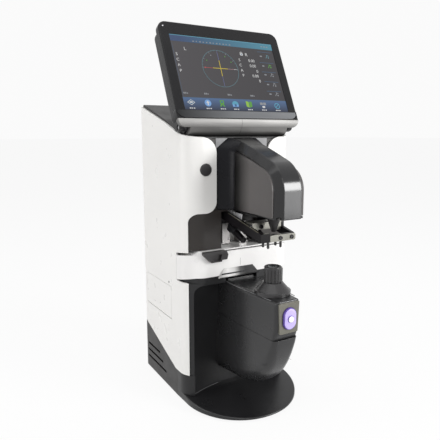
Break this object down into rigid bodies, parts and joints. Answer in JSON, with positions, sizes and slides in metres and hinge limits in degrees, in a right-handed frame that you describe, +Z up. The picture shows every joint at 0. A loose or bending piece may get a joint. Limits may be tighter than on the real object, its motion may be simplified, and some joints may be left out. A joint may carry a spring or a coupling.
{
  "type": "auto lensmeter",
  "caption": "Desktop lens meter: white column with a black overhanging head, a sliding lens table, a clamping fork, a round nosepiece on a keel-shaped housing and a tilting screen.",
  "frame": {"origin": "middle of the footprint, on the plane that the rubber feet stand on", "axes": "+Z up, -Y towards the user in front of the screen, +X to that user's right"},
  "size_m": [0.1732, 0.2384, 0.4741],
  "materials": {
    "shell_white": "fine satin",
    "charcoal": "fine texture",
    "gloss_black": "polished",
    "flank_bronze": "satin",
    "pale_metal": "satin",
    "steel": "brushed",
    "black_steel": "satin black",
    "black_rubber": "matt",
    "screen_face": "gloss",
    "button_violet": "gloss",
    "lamp_white": "gloss",
    "panel_olive": "satin",
    "clear_glass": "polished",
    "paper": "matt paper",
    "board_green": "solder resist"
  },
  "bodies": {
    "cabinet": {"left_side_shell": "shell_white", "right_side_shell": "shell_white", "printer_bay": "charcoal", "printer_mechanism": "black_steel", "rubber_feet": "black_rubber", "base_plate": "black_steel", "front_foot": "charcoal", "vent_skirt": "charcoal", "lower_front_cover": "charcoal", "upper_front_panel": "charcoal", "rear_cover": "charcoal", "rear_screws": "steel", "power_entry": "gloss_black", "top_cover": "charcoal", "chassis_frame": "steel", "head_cover": "gloss_black", "head_side_panels": "flank_bronze", "head_neck": "gloss_black", "head_floor": "charcoal", "upper_arm": "pale_metal", "collimator_barrel": "black_steel", "collimator_lens": "clear_glass", "lamp_board": "board_green", "housing_upper": "charcoal", "housing_lower": "charcoal", "button_panel": "panel_olive", "tact_switches": "gloss_black", "nosepiece_base": "black_rubber", "nosepiece_tube": "black_rubber", "cover_glass": "clear_glass", "lower_arm": "pale_metal", "objective_barrel": "black_steel", "sensor_board": "board_green", "lens_holder_rails": "pale_metal", "marker_guide": "black_steel", "main_board": "board_green", "power_supply": "board_green", "hinge_brackets": "black_steel", "hinge_pins": "steel"},
    "table": {"lens_table": "shell_white", "table_rods": "steel", "table_bracket": "black_steel"},
    "bridge": {"bridge_slider": "charcoal"},
    "lens_holder": {"lens_holder_fork": "charcoal", "lens_holder_plates": "pale_metal", "lens_holder_screws": "black_steel", "lens_holder_pins": "black_rubber", "lens_holder_springs": "steel"},
    "marker": {"marker_slide": "black_steel", "marker_pens": "charcoal"},
    "memory_key": {"memory_button": "button_violet", "button_lamp": "lamp_white"},
    "ear_key": {"ear_button": "charcoal"},
    "paper_door": {"printer_door": "shell_white"},
    "roll": {"paper_roll": "paper"},
    "screen": {"screen_bezel": "gloss_black", "display_panel": "screen_face", "screen_chin": "pale_metal", "screen_back": "charcoal"},
    "rocker": {"rocker_switch": "gloss_black"}
  },
  "joints": [
    {"name": "table_slide", "type": "slide", "parent": "cabinet", "child": "table", "axis": [0, -1, 0], "range_m": [0, 0.032]},
    {"name": "bridge_slide", "type": "slide", "parent": "table", "child": "bridge", "axis": [1, 0, 0], "range_m": [-0.003, 0.079]},
    {"name": "lens_holder_slide", "type": "slide", "parent": "cabinet", "child": "lens_holder", "axis": [0, 0, -1], "range_m": [0, 0.02], "deforming": ["lens_holder_springs"]},
    {"name": "marker_slide_joint", "type": "slide", "parent": "cabinet", "child": "marker", "axis": [0, -0.9225, -0.3859], "range_m": [0, 0.0395]},
    {"name": "memory_press", "type": "slide", "parent": "cabinet", "child": "memory_key", "axis": [0, 1, 0], "range_m": [0, 0.0012], "stiffness_N_per_m": 1500},
    {"name": "ear_press", "type": "slide", "parent": "cabinet", "child": "ear_key", "axis": [0, 1, 0], "range_m": [0, 0.0015], "stiffness_N_per_m": 1500},
    {"name": "printer_door_hinge", "type": "hinge", "parent": "cabinet", "child": "paper_door", "pos_m": [-0.07625, 0.06925, 0.10445], "axis": [0, -1, 0], "range_deg": [0, 90]},
    {"name": "roll_spin", "type": "hinge", "parent": "cabinet", "child": "roll", "pos_m": [-0.0525, 0.06675, 0.125], "axis": [0, 1, 0], "continuous": true},
    {"name": "screen_tilt", "type": "hinge", "parent": "cabinet", "child": "screen", "pos_m": [0, -0.00625, 0.349], "axis": [1, 0, 0], "range_deg": [-5, 25]},
    {"name": "rocker_tilt", "type": "hinge", "parent": "cabinet", "child": "rocker", "pos_m": [0.01, 0.11325, 0.096], "axis": [1, 0, 0], "range_deg": [0, 16]}
  ]
}
